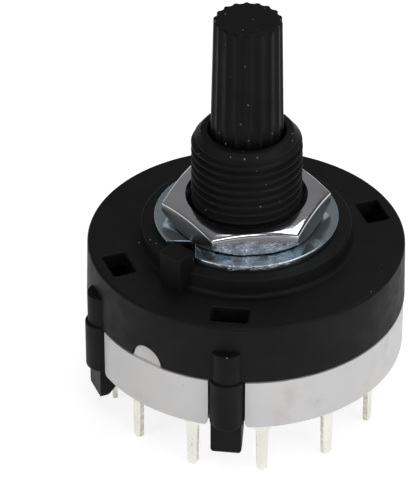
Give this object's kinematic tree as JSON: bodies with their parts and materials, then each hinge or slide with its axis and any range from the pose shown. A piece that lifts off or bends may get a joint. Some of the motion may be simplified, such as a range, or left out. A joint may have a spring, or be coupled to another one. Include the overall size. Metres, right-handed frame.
{
  "type": "rotary selector switch",
  "caption": "Round plastic rotary selector switch with a serrated shaft, a threaded panel bushing with nut and washer, snap legs and flat solder terminals.",
  "frame": {"origin": "on the shaft's axis, at the height of the terminal tips", "axes": "+Z along the shaft towards its serrated end; +X midway between two snap legs on the side of terminal 4; -Y towards the base's half-round key"},
  "size_m": [0.0262, 0.0262, 0.0362],
  "materials": {
    "black_pbt": "moulded black plastic, finely matt, a little glossier on the wall",
    "pale_nylon": "moulded pale grey plastic, satin",
    "shaft_plastic": "moulded black plastic, satin",
    "nut_nickel": "bright nickel plate over turned and sheared faces",
    "washer_zinc": "clear blue zinc plate",
    "spring_steel": "drawn wire",
    "ball_steel": "polished",
    "phosphor_bronze": "rolled strip",
    "tinned_brass": "tin plate, satin"
  },
  "bodies": {
    "housing": {"cover": "black_pbt", "base": "pale_nylon", "hex_nut": "nut_nickel", "washer": "washer_zinc", "stop_ring": "washer_zinc", "common_terminal": "tinned_brass", "terminal_01": "tinned_brass", "terminal_02": "tinned_brass", "terminal_03": "tinned_brass", "terminal_04": "tinned_brass", "terminal_05": "tinned_brass", "terminal_06": "tinned_brass", "terminal_07": "tinned_brass", "terminal_08": "tinned_brass", "terminal_09": "tinned_brass", "terminal_10": "tinned_brass", "terminal_11": "tinned_brass", "terminal_12": "tinned_brass"},
    "rotor": {"rotor_shaft": "shaft_plastic", "wiper": "phosphor_bronze", "detent_spring": "spring_steel"},
    "ball_a": {"detent_ball_a": "ball_steel"},
    "ball_b": {"detent_ball_b": "ball_steel"}
  },
  "joints": [
    {"name": "shaft_turn", "type": "hinge", "parent": "housing", "child": "rotor", "pos_m": [0, 0, 0.0167], "axis": [0, 0, -1], "range_deg": [0, 330]},
    {"name": "ball_a_travel", "type": "slide", "parent": "rotor", "child": "ball_a", "axis": [0.9659, 0.2588, 0], "range_m": [0, 0.00042], "stiffness_N_per_m": 500, "springref_m": 0.0015, "deforming": ["detent_spring"]},
    {"name": "ball_b_travel", "type": "slide", "parent": "rotor", "child": "ball_b", "axis": [-0.9659, -0.2588, 0], "range_m": [0, 0.00042], "stiffness_N_per_m": 500, "springref_m": 0.0015, "deforming": ["detent_spring"]}
  ]
}
